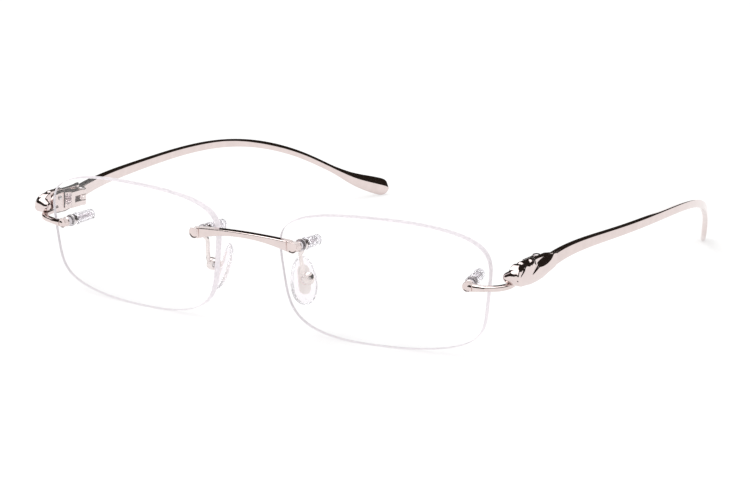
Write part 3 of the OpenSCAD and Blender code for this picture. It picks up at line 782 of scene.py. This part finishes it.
# ---------------------------------------------------------------- end pieces
def bar_line():
    """The bar's path from above: a run across the lens, a quarter turn round its edge and a run back."""
    corner, r, heading = Vector((64.7, 2.9)), 3.7, 12
    centre = corner + r * on_circle(heading + 90)
    arc = [centre + r * on_circle(heading - 90 + (90 - heading) * k / 12) for k in range(13)]
    run = [Vector(BAR_START).lerp(arc[0], k / 8) for k in range(8)]
    return run + arc + [Vector((centre.x + r, y)) for y in (7, 8.5, 10, 11.6)]


def end_bar(grow=0.0):
    rise, low_x, low_z = math.tan(math.radians(BAR_RISE)), 58.9, 1.5
    path = [Vector((p.x, p.y, low_z + (p.x - low_x) * rise)) for p in bar_line()]
    return strip(path, BAR_H + 2 * grow, BAR_T + 2 * grow, (0, 0, 1), FRONT, 0.1 if grow else 0.42)


# Outlines seen from the wearer's side, as (distance back, height)
SIDE = Matrix(((0, 0, 1, 0), (1, 0, 0, 0), (0, 1, 0, 0), (0, 0, 0, 1)))
PLATE_OUTLINE = [(8.4, 1.9), (9.5, 1.4), (11.5, .9), (14.5, .5), (16.9, .7), (19.2, 1.2),
                 (19.2, 5.4), (16.5, 5.8), (11, 6), (9.5, 5.7), (8.4, 4.8)]
ORNAMENT_OUTLINE = [(5.4, 2.6), (6.7, 2), (9.4, 1.5), (12.2, .9), (15.3, .6), (18.3, .6), (21.3, 1.2),
                    (25.5, 1.8), (25.5, 5.2), (20, 5.8), (13.2, 6.4), (9, 6.9), (7.3, 7), (6, 6.4),
                    (5, 5), (4.8, 3.6)]
RIVET = FRONT @ SIDE @ shift(12.8, 4.6, 0)


def build_end_piece():
    """Button, bar and inner plate in one casting. The bar is thicker where it leaves the button."""
    neck = chain((59.3, 1.85, 1.85), 1.0, (62.8, 2.3, 1.8), 0.72, FRONT, 12)
    plate = prism(fillet(PLATE_OUTLINE, 0.8), PLATE_X, PLATE_X + PLATE_T, FRONT @ SIDE, 0.12)
    knob = button(END_BUTTON_R, END_BUTTON_FRONT, FRONT_FACE, 2.0, OUTER)
    groove = brick((1.0, -2, END_BUTTON_FRONT - 1), (1.22, 2, END_BUTTON_FRONT + 0.28), OUTER)
    post_hole = rod(POST_R + GAP, STUD_FRONT, 2, OUTER)
    rivet_hole = rod(0.52, PLATE_X - 1, PLATE_X + 3, RIVET)
    cuts = joined(groove, post_hole, rivet_hole)
    return cast([end_bar(), neck, plate, knob], [cuts], voxel=0.085, rounds=4)


def build_rivets():
    r, inner, outer = 0.5, PLATE_X, PLATE_X + PLATE_T + 0.9
    profile = [(0, inner - 0.3), (0.3, inner - 0.28), (r, inner - 0.16), (0.56, inner - 0.02),
               (r, inner), (r, outer), (0, outer)]
    return raw(both_sides(lathe(profile, RIVET, 36)))


make_pair("end_piece_cast", build_end_piece(), "front", [POLISHED], "end_piece", sharp=60.0)
make("plate_rivets", build_rivets(), "front", [FIXING], "ornament_rivets")


# ---------------------------------------------------------------- ornaments: fluted castings
def build_ornament():
    """A crowned plate with lobes added, flutes scooped out and a seat for the end piece."""
    outline = fillet(ORNAMENT_OUTLINE, 1.5, steps=4)
    body = raw(prism(outline, PLATE_X + 0.5, ORNAMENT_X + 1, FRONT @ SIDE))
    crown_r, crown_z = 8.0, 3.8
    crown = rod(crown_r, 0, 40, FRONT @ shift(ORNAMENT_X - crown_r, 0, crown_z) @ turn(-90, "X"), 0.05, 240)
    combine(body, crown, "INTERSECT")
    base = taken(body)
    x = ORNAMENT_X
    lobes = [
        chain((x - 3.1, 5.7, 4.2), 1.35, (x - 1.7, 6.0, 4.6), 1.7, FRONT, 5),
        chain((x - 1.35, 8.3, 5.6), 1.35, (x - 1.3, 6.6, 4.2), 1.0, FRONT, 7),
        chain((x - 1.45, 13.0, 5.5), 1.45, (x - 0.95, 10.2, 3.4), 0.85, FRONT, 8),
        chain((x - 1.7, 9.2, 6.2), 1.1, (x - 1.7, 14.5, 5.9), 0.9, FRONT, 8),
    ]
    scoops = [
        joined(ball((x + 1.0, 18.5, 6.5), (2.2, 6.2, 2.95), FRONT, 40),
               chain((x + 0.2, 16.2, 5.2), 0.8, (x + 0.05, 10.9, 3.0), 0.12, FRONT, 18)),
        ball((x + 0.7, 11.2, 7.5), (1.7, 2.0, 2.0), FRONT, 32),
        joined(ball((x + 0.55, 7.6, 7.2), (1.6, 2.9, 1.7), FRONT, 32),
               chain((x + 0.1, 8.2, 5.8), 0.5, (x, 5.6, 4.4), 0.14, FRONT, 12)),
        ball((x - 0.2, 4.6, 4.4), (0.7, 0.5, 0.9), FRONT, 24),
    ]
    y0 = PLATE_OUTLINE[0][0] - GAP
    seats = [
        brick((PLATE_X - 20, y0, -10), (PLATE_X + PLATE_T + GAP, y0 + 40, 20), FRONT),
        brick((PLATE_X - 20, 0, -10), (PLATE_X - 0.9, 40, 20), FRONT),
        end_bar(GAP),
        brick((PLATE_X - 3, 0, -8), (PLATE_X + 3, 6.4, 2.1), FRONT),
        brick((-30, -BUTT_OFFSET, -30), (30, 30, 30), BUTT),
    ]
    obj = melted(raw(joined(base, *lobes)), voxel=0.12, rounds=0)
    for cut in scoops:
        combine(obj, cut, "DIFFERENCE", 0.1)
    melted(obj, 0.11, 8)
    for cut in seats:
        combine(obj, cut, "DIFFERENCE")
    return melted(obj, 0.1, 2)


make_pair("ornament_cast", build_ornament(), "front", [CASTING], "ornament", sharp=60.0)


# ---------------------------------------------------------------- nose pads
BOX = PAD @ shift(-PAD_PIVOT_BACK, 0, PAD_PIVOT_UP)


def build_pad_arm():
    """A flat strap from the eye on the post down to the pad box."""
    eye_z = EYE + NASAL_SEAT
    eye_middle = eye_z + EYE_T / 2
    to_front = FRONT.inverted()
    path = smooth_path([
        to_front @ NASAL @ Vector((0, 0.9, eye_middle)),
        to_front @ NASAL @ Vector((0, 1.75, eye_middle - 0.1)),
        (13.5, 0.8, 4.2), (13.7, 1.0, 1.2), (13.85, 1.35, -1.4),
        to_front @ BOX @ Vector((-1.9, 0, 1.2)),
        to_front @ BOX @ Vector((-1.15, 0, 0.7)),
    ], 8)
    eye = ring(EYE_R, POST_R - 0.1, eye_z, eye_z + EYE_T, NASAL, 0.12)
    strap = strip(path, 0.95, 0.62, (1, 0, 0), FRONT)
    return cast([eye, strap], [rod(POST_R + GAP, -1, 8, NASAL)], voxel=0.07, rounds=3)


def build_pad_box():
    """A rounded box with a slot for the pad's lug and a hole for the screw."""
    half_slot = LUG_T / 2 + 0.04
    slot = brick((-0.95, -half_slot, -3), (3, half_slot, 3), BOX)
    shell = ball((-0.35, 0, 0), (1.5, 1.62, 1.53), BOX, 40, 2.5)
    return cast([shell], [slot, rod(0.42, -3, 3, PIVOT)], voxel=0.06, rounds=3)


make_pair("pad_arm_strip", build_pad_arm(), "front", [PAD_METAL], "pad_arm", sharp=60.0)
make_pair("pad_box_channel", build_pad_box(), "front", [PAD_METAL], "pad_box", sharp=60.0)


def pad_screws():
    """Cross screws with a slotted head."""
    profile = [(0, -1.4), (0.4, -1.4), (0.4, 1.3), (0.75, 1.3), (0.75, 1.62), (0.4, 1.78), (0, 1.8)]
    screw = raw(lathe(fillet(profile, 0.08, closed=False, steps=3), PIVOT, 40))
    combine(screw, brick((-1.2, -0.13, 1.6), (1.2, 0.13, 2.2), PIVOT), "DIFFERENCE")
    return raw(both_sides(taken(screw)))


make("pad_screw_set", pad_screws(), "front", [FIXING], "pad_screws", sharp=30.0)


def build_insert():
    """An oval plate inside the pad, with a round-ended lug that the screw goes through."""
    oval = [Vector((INSERT_REACH * side, 0)) + INSERT_R * on_circle(start + 180 * k / 20)
            for side, start in ((1, -90), (-1, 90)) for k in range(21)]
    plate = prism(oval, -0.25, 0.25, PAD @ shift(-0.95, 0, PAD_PIVOT_UP) @ turn(90, "Y"), 0.1)
    low, high = PAD_PIVOT_UP - 0.75, PAD_PIVOT_UP + 0.75
    lug = brick((-PAD_PIVOT_BACK, -LUG_T / 2, low), (-0.9, LUG_T / 2, high), PAD)
    lug_end = rod(LUG_R, -LUG_T / 2, LUG_T / 2, PIVOT, 0.05)
    return cast([plate, lug, lug_end], [rod(0.44, -2, 2, PIVOT)], voxel=0.07, rounds=2)


make_pair("pad_insert_plate", build_insert(), "pad", [SATIN_PAINTED_GLOW], "pad_insert", sharp=60.0)


def build_pad():
    """A soft oval with a rounded rim, a slightly dished back and a domed face.

    The profile holds (share of the outline's size, distance through the pad).
    """
    profile = [(0.3, -1.02), (0.55, -1.06), (0.76, -1.15), (0.88, -1.26), (0.95, -1.24), (0.985, -1.05),
               (1.0, -0.72), (0.992, -0.4), (0.965, -0.1), (0.9, 0.25), (0.78, 0.62), (0.6, 0.94),
               (0.4, 1.16), (0.2, 1.27)]
    n, loops = 56, []
    for k, x in profile:
        loop = []
        for i in range(n):
            a = 2 * math.pi * i / n
            y = (PAD_HALF_W - 0.45 * math.sin(a)) * signed_pow(math.cos(a), 0.95)
            z = PAD_HALF_LEN * signed_pow(math.sin(a), 0.97)
            loop.append((x, y * k, z * k))
        loops.append(loop)
    verts, faces = rings(loops, caps=False)
    for row, x in ((0, -1.0), (len(loops) - 1, 1.3)):
        verts.append(Vector((x, 0, 0)))
        faces += [[row * n + i, row * n + (i + 1) % n, len(verts) - 1] for i in range(n)]
    obj = raw(placed((verts, faces), PAD))
    return modified(obj, "SUBSURF", levels=1, render_levels=1)


make_pair("silicone_pad", build_pad(), "pad", [PAD_CLEAR], "nose_pad", sharp=60.0)


# ---------------------------------------------------------------- hinges
def hinge_block():
    """Two knuckles on arms from a web, whose front end ramps down to the plate."""
    slot, web_y, web_t, inner = 1.5, -5.4, 1.5, -1.05
    arm, half = (HINGE_H - slot) / 2, HINGE_H / 2
    outer = PLATE_X - GAP - HINGE_POS[0]
    solids = []
    for z in (-half, half - arm):
        solids.append(rod(KNUCKLE_R, z, z + arm, AXLE, 0.1, 64))
        solids.append(brick((inner, web_y + 0.3, z), (outer, 0, z + arm), AXLE))
    solids.append(brick((inner, web_y, -half), (outer, web_y + web_t, half), AXLE))
    ramp_foot = [(outer, web_y - 1.2), (outer, web_y + 0.3), (inner, web_y + 0.3), (inner, web_y)]
    solids.append(prism(ramp_foot, -half, half, AXLE))
    return cast(solids, [rod(PIN_R + GAP, -4, 4, AXLE)], voxel=0.075, rounds=3)


def hinge_screw():
    low, top, head_r = -HINGE_H / 2, HINGE_H / 2 + GAP, 1.05
    profile = [(0, low), (PIN_R, low), (PIN_R, top), (head_r, top), (head_r, top + 0.3),
               (0.6, top + 0.44), (0, top + 0.46)]
    slot = brick((-2, -0.18, top + 0.22), (2, 0.18, top + 2), AXLE @ turn(25, "Z"))
    return combine(raw(lathe(fillet(profile, 0.09, closed=False, steps=3), AXLE, 48)), slot, "DIFFERENCE")


def temple_knuckle():
    """The centre knuckle with the tongue that goes into the temple."""
    half = KNUCKLE_H / 2
    barrel = rod(KNUCKLE_R, -half, half, AXLE, 0.08, 64)
    tongue = brick((0, -0.3, -half), (4.4, 0.8, half), BUTT)
    return cast([barrel, tongue], [rod(PIN_R + 0.04, -3, 3, AXLE)], voxel=0.06, rounds=2)


make_pair("hinge_block", hinge_block(), "front", [POLISHED], "front_hinge", sharp=60.0)
make_pair("hinge_screw_slotted", hinge_screw(), "front", [FIXING], "hinge_screw", sharp=30.0)
make_pair("temple_knuckle", temple_knuckle(), "temple", [POLISHED], "temple_hinge", sharp=60.0)


# ---------------------------------------------------------------- temples
TEMPLE_CURVE = [Vector(p) for p in (
    (69, 21, 21.1), (69.5, 49, 27.7), (76.5, 70, 14.2),
    (76, 108, 38.2), (62.5, 128, 9.9), (51.6, 152.3, 0.95))]


def bezier(points, t):
    while len(points) > 1:
        points = [a.lerp(b, t) for a, b in zip(points, points[1:])]
    return points[0]


def temple_ring(t, n=64):
    """A section of the temple: a rounded box whose top slopes down towards the head."""
    round_end = 0.024
    tip = 1.0 if t < 1 - round_end else max(0.03, 1 - ((t - 1 + round_end) / round_end) ** 2.5) ** 0.4
    height = (TEMPLE_H + (TEMPLE_ROOT_H - TEMPLE_H) * math.exp(-t / 0.2)
              + (PADDLE_H - TEMPLE_H) * ease(t, 0.84, 0.975))
    thickness = TEMPLE_T + (TEMPLE_ROOT_T - TEMPLE_T) * math.exp(-t / 0.25) + 0.2 * ease(t, 0.8, 0.95)
    half_h, half_t = height * tip / 2, thickness * (0.4 + 0.6 * tip) / 2
    slope = 0.1 - 0.025 * ease(t, 0.06, 0.16) + 0.07 * ease(t, 0.33, 0.45) + 0.27 * ease(t, 0.5, 0.7)
    power = 4.4 - 0.9 * ease(t, 0.7, 0.95)
    after, before = bezier(TEMPLE_CURVE, min(1, t + 0.001)), bezier(TEMPLE_CURVE, max(0, t - 0.001))
    along = (after - before).normalized()
    out = along.cross(Vector((0, 0, 1))).normalized()
    up = out.cross(along)
    p = bezier(TEMPLE_CURVE, t) + up * (1.2 * ease(t, 0.89, 1) - 0.3 * ease(t, 0.74, 0.88))
    loop, soft = [], 0.04
    for k in range(n):
        a = 2 * math.pi * (k + 0.5) / n
        u = half_t * signed_pow(math.cos(a), 2 / power)
        w = half_h * signed_pow(math.sin(a), 2 / power)
        top = half_h * (1 - slope * (1 - u / half_t)) - 0.02
        # The lower of the two heights, with a small blend where they meet.
        w = (w + top) / 2 - math.sqrt(((w - top) / 2) ** 2 + soft ** 2)
        loop.append(p + out * u + up * w)
    return loop


def build_temple():
    """The swept bar, cut off at its butt face and hollowed for the knuckle and its tongue."""
    steps, butt_gap, knuckle_room = 240, 0.34, 0.2
    half = KNUCKLE_H / 2 + GAP
    obj = raw(placed(rings([temple_ring(1 - (1 - k / steps) ** 1.5) for k in range(steps + 1)]),
                     shift(0, LENS_Y, 0)))
    combine(obj, brick((-30, -60, -30), (30, -butt_gap, 30), BUTT), "DIFFERENCE")
    combine(obj, rod(KNUCKLE_R + knuckle_room, -6, 6, AXLE, 0.02, 64), "DIFFERENCE")
    combine(obj, brick((0, -0.32, -half), (4.42, 0.82, half), BUTT), "DIFFERENCE")
    return obj


make_pair("temple_bar", build_temple(), "temple", [TEMPLE_METAL], "temple", sharp=40.0)


# ---------------------------------------------------------------- stage
def build_floor():
    """A white floor, a hair below the part. Sizes are in metres."""
    mesh = bpy.data.meshes.new("studio_floor")
    n, width, level = 8, 12.0, -0.00002
    points = [((i / n - 0.5) * width, (j / n - 0.5) * width, level)
              for j in range(n + 1) for i in range(n + 1)]
    quads = [(j * (n + 1) + i, j * (n + 1) + i + 1, (j + 1) * (n + 1) + i + 1, (j + 1) * (n + 1) + i)
             for j in range(n) for i in range(n)]
    mesh.from_pydata(points, [], quads)
    material, tree, bsdf, _ = shader("floor_white")
    bsdf.inputs["Base Color"].default_value = (0.5, 0.5, 0.5, 1)
    bsdf.inputs["Roughness"].default_value = 0.9
    bsdf.inputs["Specular IOR Level"].default_value = 0.0
    bsdf.inputs["Emission Color"].default_value = (1, 0.995, 0.995, 1)
    bsdf.inputs["Emission Strength"].default_value = 0.5
    mesh.materials.append(material)
    linked("studio_floor", mesh)


build_floor()

# The world is white. In reflections only, it has a dark band low down all round, as black studio cards give.
world = bpy.data.worlds.new("studio")
bpy.context.scene.world = world
world.use_nodes = True
tree = world.node_tree
tree.nodes.clear()
where = node(tree, "ShaderNodeTexCoord")
split = node(tree, "ShaderNodeSeparateXYZ")
tree.links.new(where.outputs["Generated"], split.inputs["Vector"])
BLACK_CARD = (0.02, 0.015, 0.012)
band = ramp(tree, split.outputs["Z"], (
    (0.0, (1.2, 1.2, 1.2)), (0.045, (1.1, 1.1, 1.1)), (0.075, BLACK_CARD), (0.66, BLACK_CARD),
    (0.78, (1.6, 1.6, 1.6))))
path = node(tree, "ShaderNodeLightPath")
mirror_ray = node(tree, "ShaderNodeMath", operation="SUBTRACT", use_clamp=True)
tree.links.new(path.outputs["Is Glossy Ray"], mirror_ray.inputs[0])
tree.links.new(path.outputs["Is Transmission Ray"], mirror_ray.inputs[1])
# Sockets 6 and 7 of a colour mix are its two colours.
mix = node(tree, "ShaderNodeMix", data_type="RGBA")
mix.inputs[6].default_value = (1, 1, 1, 1)
tree.links.new(mirror_ray.outputs["Value"], mix.inputs[0])
tree.links.new(band, mix.inputs[7])
sky = node(tree, "ShaderNodeBackground", {"Strength": 1.0})
tree.links.new(mix.outputs[2], sky.inputs["Color"])
tree.links.new(sky.outputs["Background"], node(tree, "ShaderNodeOutputWorld").inputs["Surface"])


def soft_light(name, place, size, watts):
    """A softbox that looks at the origin."""
    light = bpy.data.lights.new(name, "AREA")
    light.shape, light.size, light.size_y, light.energy = "RECTANGLE", size[0], size[1], watts
    obj = linked(name, light)
    obj.location = place
    obj.rotation_euler = (-Vector(place)).to_track_quat("-Z", "Y").to_euler()


soft_light("key_softbox", place=(-0.35, -0.25, 0.9), size=(0.7, 0.5), watts=2.2)

# ---------------------------------------------------------------- camera
CAMERA_FROM_LENSES = (369.4, -569.9, 164.1)
FOCAL_LENGTH, SENSOR_WIDTH = 137.04, 36
azimuth, elevation, roll = (math.radians(a) for a in (30.47, 13.09, 1.02))
back = Vector((math.sin(azimuth) * math.cos(elevation), -math.cos(azimuth) * math.cos(elevation),
               math.sin(elevation)))
level = Vector((math.cos(azimuth), math.sin(azimuth), 0))
upright = back.cross(level)
right = math.cos(roll) * level + math.sin(roll) * upright
up = math.cos(roll) * upright - math.sin(roll) * level
camera = linked("camera", bpy.data.cameras.new("camera"))
camera.data.lens, camera.data.sensor_width = FOCAL_LENGTH, SENSOR_WIDTH
camera.data.clip_start, camera.data.clip_end = 0.01, 50
place = (Vector(CAMERA_FROM_LENSES) + Vector((0, LENS_Y, LENS_Z))) * METRE
camera.matrix_world = Matrix.Translation(place) @ Matrix((right, up, back)).transposed().to_4x4()
bpy.context.scene.camera = camera
bpy.context.scene.view_settings.view_transform = "Standard"
